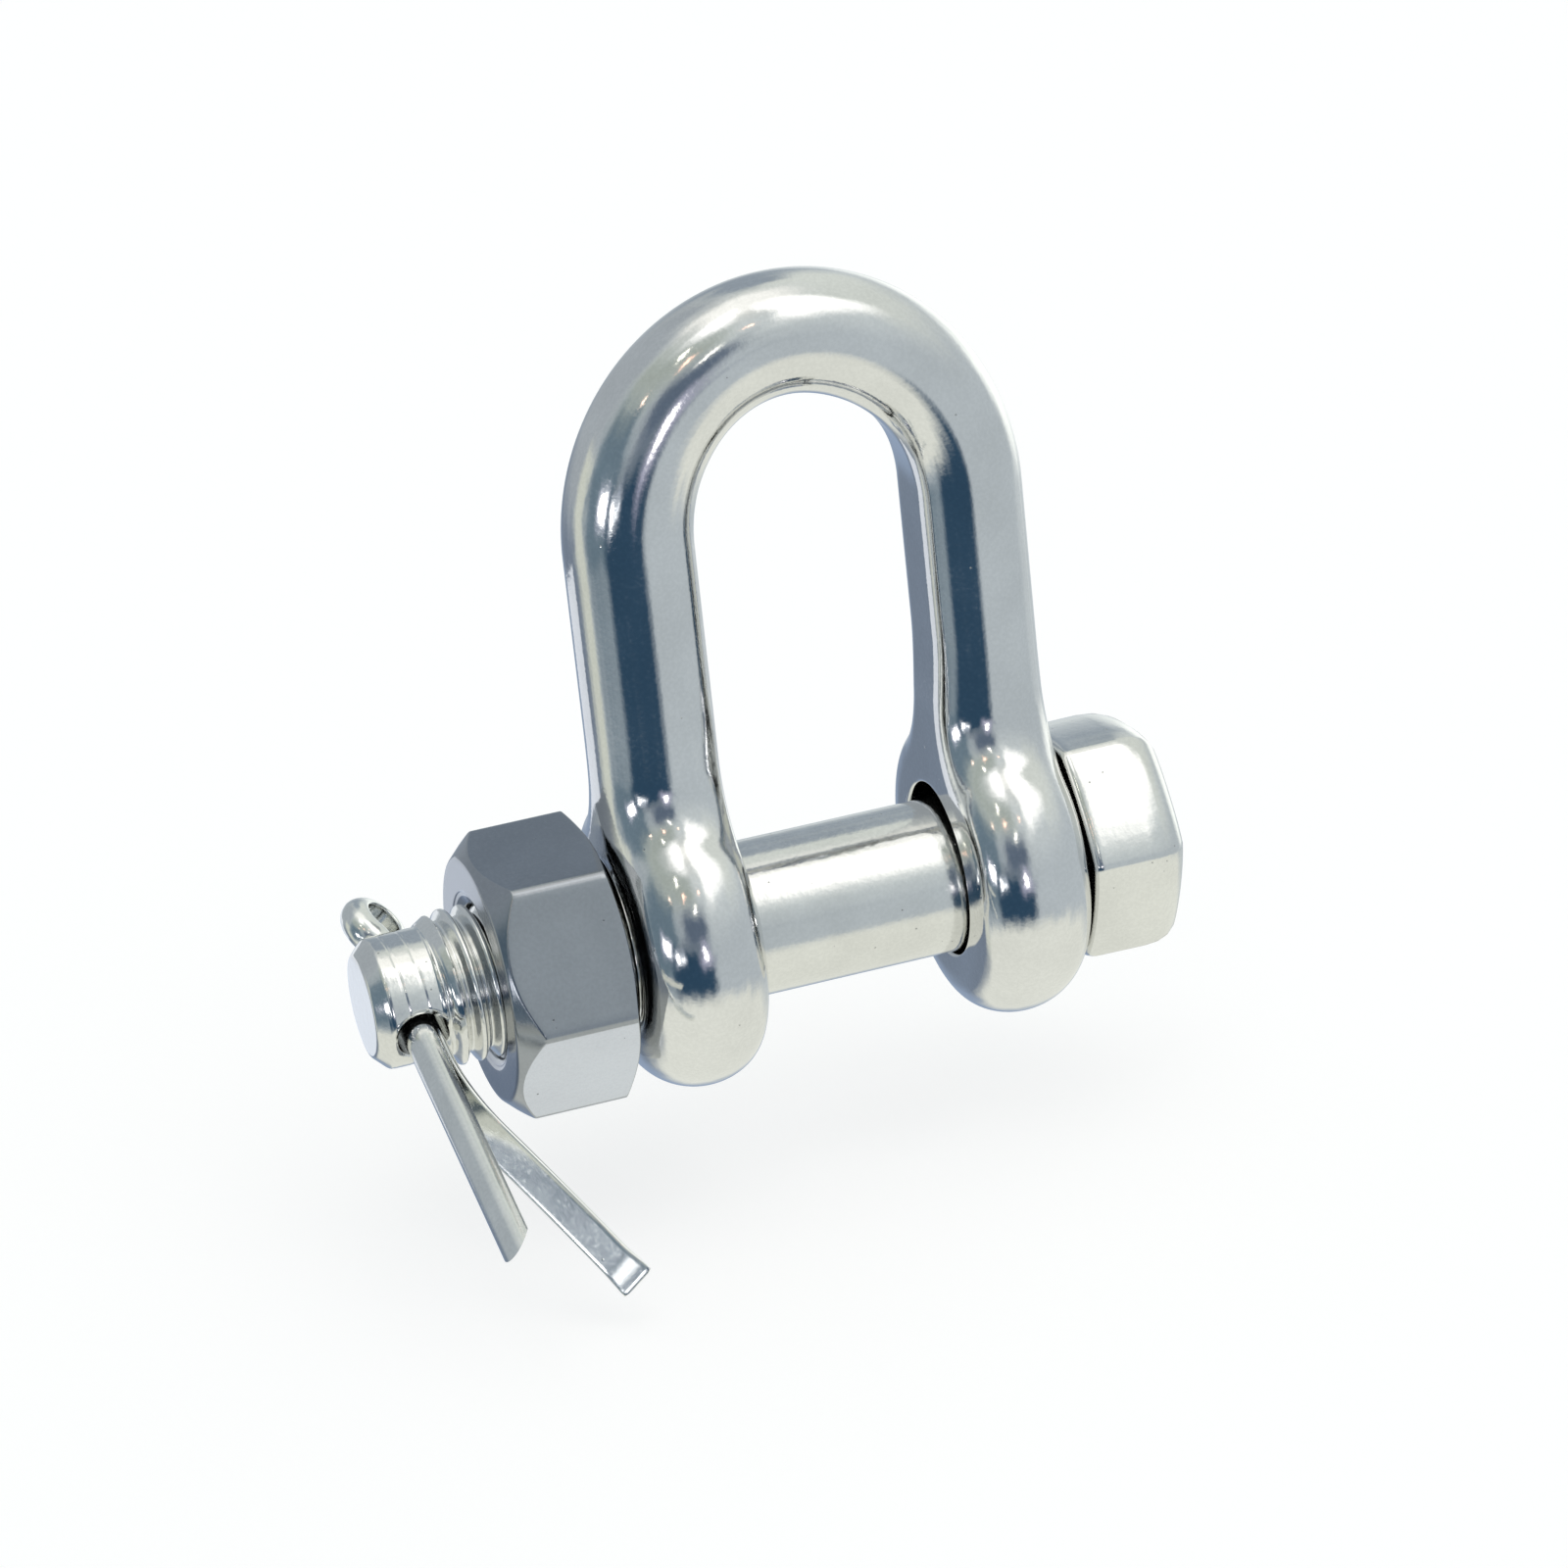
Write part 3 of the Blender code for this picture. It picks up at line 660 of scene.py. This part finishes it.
def build_nut(material):
    angles, outline = nut_outline()
    columns = []
    for angle, radius in zip(angles, outline):
        front = NUT_FRONT_X + (radius - NUT_FRONT_RADIUS) * NUT_FRONT_SLOPE
        back = NUT_BACK_X - (radius - NUT_BACK_RADIUS) * NUT_BACK_SLOPE
        shell = chain(
            [
                (NUT_FRONT_X + 0.15, NUT_SINK - 0.15),
                (NUT_FRONT_X, NUT_SINK + 0.1),
                (NUT_FRONT_X, NUT_FRONT_RADIUS),
                (front, radius),
                (back, radius),
                (NUT_BACK_X, NUT_BACK_RADIUS),
                (NUT_BACK_X, NUT_SINK),
            ],
            [0, 0.12, 0.3, 0.16, 0.16, 0.2, 0],
            [1, 9, 8, 22, 3, 4],
        )
        columns.append(shell)
    shell = np.array(columns).transpose(1, 0, 2)
    shell_rows = spin(angles[None, :], shell[:, :, 0], shell[:, :, 1])
    xs = np.linspace(NUT_BACK_X, NUT_FRONT_X, 110)
    grid_x, grid_a = np.meshgrid(xs, angles, indexing="ij")
    bore = thread_radius(grid_x, grid_a, NUT_GROOVE, NUT_BORE, 0.3, 0.12)
    mouth = np.minimum(grid_x - NUT_FRONT_X, NUT_BACK_X - grid_x)
    bore = np.maximum(bore, NUT_SINK - 2.0 * mouth)
    bore_rows = spin(grid_a, grid_x, bore)[:-1]
    ring = np.concatenate([shell_rows, bore_rows[1:]])
    rows, count = ring.shape[:2]
    points = list(ring.reshape(-1, 3))
    faces = lattice(rows, count, closed=True)
    last = (rows - 1) * count
    faces += [(last + c, last + (c + 1) % count, (c + 1) % count, c) for c in range(count)]
    return make_piece("hex_nut", points, faces, "nut_body", "nut", material)


# Split pin


def pin_frame():
    """Rows: the way the bent leg leans, the way the legs point, and the normal of the pin's plane."""
    down = Vector(hole_direction())
    lean = Matrix.Rotation(-PIN_ROLL, 3, down) @ Vector((1.0, 0.0, 0.0))
    return np.array([lean, down, lean.cross(down)])


def turn_path(start, heading, radius, sweep, count):
    """Points along an arc that leaves on a heading; a positive sweep turns it clockwise."""
    reach = math.copysign(radius, sweep)

    def side(angle):
        return reach * np.array([math.cos(angle), -math.sin(angle)])

    centre = start + side(heading)
    return [centre - side(heading + turn) for turn in np.linspace(0.0, sweep, count + 1)[1:]]


def pin_path():
    """The wire's inner line as points (lean, down), from the straight leg's end to the bent one's."""
    side = LEG_GAP + PIN_NECK
    between = PIN_EYE + PIN_NECK
    meet = math.asin(side / between)
    neck_y = PIN_EYE_Y + math.sqrt(between**2 - side**2)
    neck = (PIN_NECK, math.pi / 2 - meet, 10)
    eye = (PIN_EYE, 2 * meet - TAU, 48)
    points = list(np.linspace([-LEG_GAP, PIN_SHORT], [-LEG_GAP, 6.0], 70))
    points += list(np.linspace([-LEG_GAP, 5.0], [-LEG_GAP, neck_y], 30))
    heading = math.pi
    for radius, sweep, count in (neck, eye, neck):
        points += turn_path(points[-1], heading, radius, sweep, count)
        heading += sweep
    points += list(np.linspace([LEG_GAP, neck_y], [LEG_GAP, BEND_START], 44)[1:])
    points += turn_path(points[-1], 0.0, BEND_RADIUS, BEND_ANGLE + LEG_SWEEP, 26)
    straight = BENT_LENGTH - BEND_START - BEND_RADIUS * BEND_ANGLE
    steps = 44
    for share in np.linspace(0.0, 1.0, steps + 1)[1:]:
        heading = BEND_ANGLE + LEG_SWEEP * (1 - 2 * share)
        step = straight / steps * np.array([math.sin(heading), math.cos(heading)])
        points.append(points[-1] + step)
    return np.array(points)


def wire_section():
    """The half-round wire's section as (outward, across), with softened edges at its flat side."""
    arc = [
        (WIRE * math.cos(a), WIRE * math.sin(a))
        for a in np.linspace(-math.pi / 2 + 0.13, math.pi / 2 - 0.13, 26)
    ]
    edge = [(0.12, WIRE - 0.04), (0.03, WIRE - 0.16), (0.0, WIRE - 0.32)]
    flat = [(0.0, y) for y in np.linspace(WIRE - 0.6, -WIRE + 0.6, 9)]
    other = [(o, -a) for o, a in reversed(edge)]
    return np.array(arc + edge + flat + other)


def wire_rows(path):
    """The section along the path: cut slanted at the straight leg's end, pressed at the bent one's."""
    section = wire_section()
    axes = pin_frame()
    steps = np.linalg.norm(np.diff(path, axis=0), axis=1)
    length = np.concatenate([[0.0], np.cumsum(steps)])
    rows = []
    for i, point in enumerate(path):
        tangent = path[min(i + 1, len(path) - 1)] - path[max(i - 1, 0)]
        tangent /= np.linalg.norm(tangent)
        outward = np.array([tangent[1], -tangent[0]])
        press = float(1 - smoothstep(0.0, PRESS_LENGTH, length[-1] - length[i]))
        cut = (PIN_LONG - PIN_SHORT) * float(1 - smoothstep(0.0, SLANT_LENGTH, length[i]))
        ring = []
        for out, across in section:
            thin = out * (1 - PRESS_THIN * press) + PRESS_SHIFT * press * (1 - out / WIRE)
            wide = across * (1 + PRESS_WIDE * press)
            flat = point + outward * thin - tangent * (cut * out / WIRE)
            ring.append(flat[0] * axes[0] + flat[1] * axes[1] + wide * axes[2])
        rows.append(ring)
    return np.array(rows) + np.array([HOLE_X, 0.0, 0.0])


def cap_wire(points, faces, row, before, first):
    """Close the wire's end at a row of points with a low dome; first is the row's first index."""
    count = len(row)
    centre = row.mean(axis=0)
    push = (row - before).mean(axis=0)
    push *= END_DOME / np.linalg.norm(push)
    start = len(points)
    points += list(centre + (row - centre) * END_DOME_SCALE + push)
    points.append(centre + push)
    pole = len(points) - 1
    for c in range(count):
        d = (c + 1) % count
        faces.append((first + c, first + d, start + d, start + c))
        faces.append((start + c, start + d, pole))


def build_split_pin(material):
    rows = wire_rows(pin_path())
    count = rows.shape[1]
    points = list(rows.reshape(-1, 3))
    faces = lattice(len(rows), count, closed=True)
    cap_wire(points, faces, rows[0], rows[1], 0)
    cap_wire(points, faces, rows[-1], rows[-2], (len(rows) - 1) * count)
    make_piece(
        "split_pin_wire",
        points,
        faces,
        "pin_body",
        "split_pin",
        material,
        smooth_angle=math.radians(50),
    )


# Finishes


# Bump heights are in microns; noise and cell scales are per metre.
MICRON = 1e-6
CLOUD_SCALE = 130.0
GRAIN_SCALE = 2600.0
PIT_SCALE = 700.0
PIT_RADIUS = 0.11
PIT_DEPTH = 9.0


def display(red, green, blue):
    """Linear colour of an 8-bit display colour."""
    return tuple((v / 255.0) ** 2.2 for v in (red, green, blue))


class Nodes:
    """Short calls for building a node tree."""

    def __init__(self, tree):
        self.tree = tree

    def add(self, kind, **values):
        node = self.tree.nodes.new(kind)
        for name, value in values.items():
            setattr(node, name, value)
        return node

    def feed(self, socket, value):
        if isinstance(value, bpy.types.NodeSocket):
            self.tree.links.new(value, socket)
        else:
            socket.default_value = value

    def math(self, operation, *values):
        node = self.add("ShaderNodeMath", operation=operation)
        for socket, value in zip(node.inputs, values):
            self.feed(socket, value)
        return node.outputs[0]

    def ramp(self, value, low, high, start=0.0, end=1.0):
        """Smooth step of a value between two limits, mapped to start and end."""
        node = self.add("ShaderNodeMapRange", interpolation_type="SMOOTHSTEP")
        for socket, item in zip(node.inputs, (value, low, high, start, end)):
            self.feed(socket, item)
        return node.outputs[0]

    def mix(self, factor, first, second):
        node = self.add("ShaderNodeMix", data_type="RGBA")
        self.feed(node.inputs[0], factor)
        for socket, value in ((node.inputs[6], first), (node.inputs[7], second)):
            self.feed(socket, value if isinstance(value, bpy.types.NodeSocket) else (*value, 1.0))
        return node.outputs[2]

    def noise(self, place, scale, detail=2.0, roughness=0.5):
        node = self.add("ShaderNodeTexNoise")
        self.feed(node.inputs["Vector"], place)
        for name, value in (("Scale", scale), ("Detail", detail), ("Roughness", roughness)):
            node.inputs[name].default_value = value
        return node.outputs["Fac"]

    def pits(self, place, scale, radius, share):
        """Round pits in a random share of the cells: 1 in a pit, 0 elsewhere."""
        cells = self.add("ShaderNodeTexVoronoi")
        self.feed(cells.inputs["Vector"], place)
        cells.inputs["Scale"].default_value = scale
        chosen = self.add("ShaderNodeSeparateColor")
        self.feed(chosen.inputs[0], cells.outputs["Color"])
        inside = self.ramp(cells.outputs["Distance"], radius, radius * 0.35)
        return self.math("MULTIPLY", inside, self.math("LESS_THAN", chosen.outputs[0], share))


def steel(name, tone, rough, peel, peel_size, grain, pitted):
    """Stainless steel with orange peel, fine grain, small pits and uneven polish.

    Peel and grain are heights in microns, peel_size is a noise scale, and pitted is the share of
    cells that hold a pit.
    """
    material = bpy.data.materials.new(name)
    material.use_nodes = True
    nodes = Nodes(material.node_tree)
    shader = material.node_tree.nodes["Principled BSDF"]
    shader.inputs["Metallic"].default_value = 1.0
    place = nodes.add("ShaderNodeTexCoord").outputs["Object"]
    cloud = nodes.noise(place, CLOUD_SCALE, 3.0)
    speckle = nodes.noise(place, GRAIN_SCALE, 2.0)
    pit = nodes.pits(place, PIT_SCALE, PIT_RADIUS, pitted)
    shade = nodes.ramp(cloud, 0.3, 0.7, 0.95, 1.03)
    shade = nodes.math("MULTIPLY", shade, nodes.ramp(speckle, 0.35, 0.7, 0.97, 1.02))
    shade = nodes.math("MULTIPLY", shade, nodes.ramp(pit, 0.0, 1.0, 1.0, 0.6))
    scale = nodes.add("ShaderNodeVectorMath", operation="SCALE")
    scale.inputs[0].default_value = tone
    nodes.feed(scale.inputs["Scale"], shade)
    nodes.feed(shader.inputs["Base Color"], scale.outputs[0])
    uneven = nodes.math(
        "ADD", nodes.ramp(cloud, 0.35, 0.7, 0.0, 0.04), nodes.ramp(speckle, 0.5, 0.8, 0.0, 0.06)
    )
    uneven = nodes.math("ADD", rough, uneven)
    uneven = nodes.math("ADD", uneven, nodes.math("MULTIPLY", pit, 0.3))
    nodes.feed(shader.inputs["Roughness"], uneven)
    waves = nodes.math("MULTIPLY", nodes.noise(place, peel_size, 2.0), peel)
    fine = nodes.math("MULTIPLY", speckle, grain)
    dents = nodes.math("MULTIPLY", pit, -PIT_DEPTH)
    height = nodes.math("ADD", nodes.math("ADD", waves, fine), dents)
    bump = nodes.add("ShaderNodeBump")
    bump.inputs["Strength"].default_value = 1.0
    bump.inputs["Distance"].default_value = MICRON
    nodes.feed(bump.inputs["Height"], height)
    nodes.feed(shader.inputs["Normal"], bump.outputs[0])
    return material


# Stage


def build_camera():
    azimuth, elevation, roll = VIEW_AZIMUTH, VIEW_ELEVATION, VIEW_ROLL
    right = Vector((math.cos(azimuth), math.sin(azimuth), 0.0))
    up = Vector(
        (
            -math.sin(azimuth) * math.sin(elevation),
            math.cos(azimuth) * math.sin(elevation),
            math.cos(elevation),
        )
    )
    back = right.cross(up)
    tilted_right = right * math.cos(roll) - up * math.sin(roll)
    tilted_up = right * math.sin(roll) + up * math.cos(roll)
    data = bpy.data.cameras.new("photo_camera")
    data.sensor_width = SENSOR_WIDTH
    data.lens = SENSOR_WIDTH * CAMERA_DISTANCE / VIEW_WIDTH
    data.clip_start = 0.01
    data.clip_end = 50.0
    camera = bpy.data.objects.new("photo_camera", data)
    bpy.context.scene.collection.objects.link(camera)
    place = back * CAMERA_DISTANCE - tilted_right * VIEW_ACROSS + tilted_up * VIEW_UP
    turn = Matrix((tilted_right, tilted_up, back)).transposed()
    camera.matrix_world = Matrix.Translation(place * MM) @ turn.to_4x4()
    bpy.context.scene.camera = camera


def build_world():
    """A studio to show in the steel: pale below and above, grey round, with the patches on it."""
    world = bpy.data.worlds.new("studio")
    bpy.context.scene.world = world
    world.use_nodes = True
    nodes = Nodes(world.node_tree)
    direction = nodes.add("ShaderNodeTexCoord").outputs["Generated"]
    ray = nodes.add("ShaderNodeSeparateXYZ")
    nodes.feed(ray.inputs[0], direction)
    x, y, z = ray.outputs
    degrees = 180.0 / math.pi
    azimuth = nodes.math("ARCTAN2", x, nodes.math("MULTIPLY", y, -1.0))
    azimuth = nodes.math("MULTIPLY", azimuth, degrees)
    elevation = nodes.math("MULTIPLY", nodes.math("ARCSINE", z), degrees)
    drift = nodes.ramp(nodes.noise(direction, 3.5, 3.0), 0.25, 0.75, -EDGE_DRIFT, EDGE_DRIFT)
    azimuth = nodes.math("ADD", azimuth, drift)
    drift = nodes.ramp(nodes.noise(direction, 4.5, 3.0), 0.25, 0.75, EDGE_DRIFT, -EDGE_DRIFT)
    elevation = nodes.math("ADD", elevation, nodes.math("MULTIPLY", drift, 0.6))
    color = display(*FLOOR_GLOW)
    for low, high, tint in SURROUNDINGS:
        color = nodes.mix(nodes.ramp(elevation, low, high), color, display(*tint))
    for turn, tilt, wide, high, soft, tint, gain in STUDIO:
        away = nodes.math("WRAP", nodes.math("SUBTRACT", azimuth, turn), 180.0, -180.0)
        away = nodes.math("ABSOLUTE", away)
        above = nodes.math("ABSOLUTE", nodes.math("SUBTRACT", elevation, tilt))
        inside = nodes.math(
            "MULTIPLY",
            nodes.ramp(away, wide + soft, max(wide - soft, 0.0)),
            nodes.ramp(above, high + soft, max(high - soft, 0.0)),
        )
        color = nodes.mix(inside, color, tuple(v * gain for v in display(*tint)))
    backdrop = world.node_tree.nodes["Background"]
    nodes.feed(backdrop.inputs[0], color)
    backdrop.inputs[1].default_value = 1.0 / STEEL_TONE


def glow(name, emission, tint):
    material = bpy.data.materials.new(name)
    material.use_nodes = True
    shader = material.node_tree.nodes["Principled BSDF"]
    shader.inputs["Base Color"].default_value = (tint, tint, tint, 1.0)
    shader.inputs["Roughness"].default_value = 1.0
    shader.inputs["Specular IOR Level"].default_value = 0.0
    shader.inputs["Emission Color"].default_value = (1.0, 1.0, 1.0, 1.0)
    shader.inputs["Emission Strength"].default_value = emission
    return material


def build_panel(name, centre, aim, width, height, tone, only=None):
    """A soft light panel that shows in the steel and not to the camera.

    Its tone is a display grey, and it lights every piece unless only one is named.
    """
    data = bpy.data.lights.new(name, "AREA")
    data.shape = "RECTANGLE"
    data.size = width * MM
    data.size_y = height * MM
    radiance = display(tone, tone, tone)[0] / STEEL_TONE
    data.energy = radiance * math.pi * data.size * data.size_y
    panel = bpy.data.objects.new(name, data)
    bpy.context.scene.collection.objects.link(panel)
    panel.location = [v * MM for v in centre]
    panel.rotation_euler = (Vector(aim) - Vector(centre)).to_track_quat("-Z", "Y").to_euler()
    panel.visible_camera = False
    panel.visible_diffuse = False
    if only:
        lit = bpy.data.collections.new(name + "_lights")
        lit.objects.link(only)
        panel.light_linking.receiver_collection = lit


def stage_object(name, bm, material):
    """A floor or backdrop that doesn't show in the steel."""
    mesh = bpy.data.meshes.new(name)
    bm.to_mesh(mesh)
    bm.free()
    mesh.shade_smooth()
    mesh.materials.append(material)
    stage = bpy.data.objects.new(name, mesh)
    bpy.context.scene.collection.objects.link(stage)
    stage.location.z = CAD_BOX[0][2] - FLOOR_DROP * MM
    stage.visible_glossy = False
    return stage


def build_stage():
    """A pale floor, and a pale dome behind it that only the camera sees."""
    disc = bmesh.new()
    bmesh.ops.create_circle(disc, cap_ends=True, segments=96, radius=STAGE_RADIUS)
    stage_object("floor", disc, glow("floor_paper", FLOOR_EMISSION, FLOOR_TINT))
    dome = bmesh.new()
    bmesh.ops.create_uvsphere(dome, u_segments=96, v_segments=48, radius=STAGE_RADIUS)
    backdrop = stage_object("backdrop", dome, glow("backdrop_paper", BACKDROP_EMISSION, 0.0))
    backdrop.visible_diffuse = False
    backdrop.visible_shadow = False
    backdrop.visible_transmission = False


bpy.context.scene.view_settings.view_transform = "Standard"
bow_steel = steel(
    "polished_bow", (0.80, 0.80, 0.79), rough=0.07, peel=7.0, peel_size=1300.0, grain=1.3, pitted=0.05
)
bolt_steel = steel(
    "polished_bolt", (0.80, 0.80, 0.78), rough=0.10, peel=18.0, peel_size=1000.0, grain=3.2, pitted=0.3
)
nut_steel = steel(
    "satin_nut", (0.37, 0.39, 0.42), rough=0.15, peel=5.0, peel_size=800.0, grain=4.0, pitted=0.12
)
pin_steel = steel(
    "split_pin_wire", (0.82, 0.83, 0.81), rough=0.15, peel=8.0, peel_size=600.0, grain=2.0, pitted=0.06
)
build_bow(bow_steel)
build_bolt(bolt_steel)
nut = build_nut(nut_steel)
build_split_pin(pin_steel)
build_camera()
build_world()
build_panel(
    "tip_panel",
    centre=(-76.0, 95.0, -27.0),
    aim=(-44.0, 0.0, 14.0),
    width=70.0,
    height=50.0,
    tone=182.0,
)
build_panel(
    "nut_panel",
    centre=(-5.0, -6.0, -106.0),
    aim=(-31.0, -8.0, -10.0),
    width=40.0,
    height=70.0,
    tone=198.0,
    only=nut,
)
build_stage()
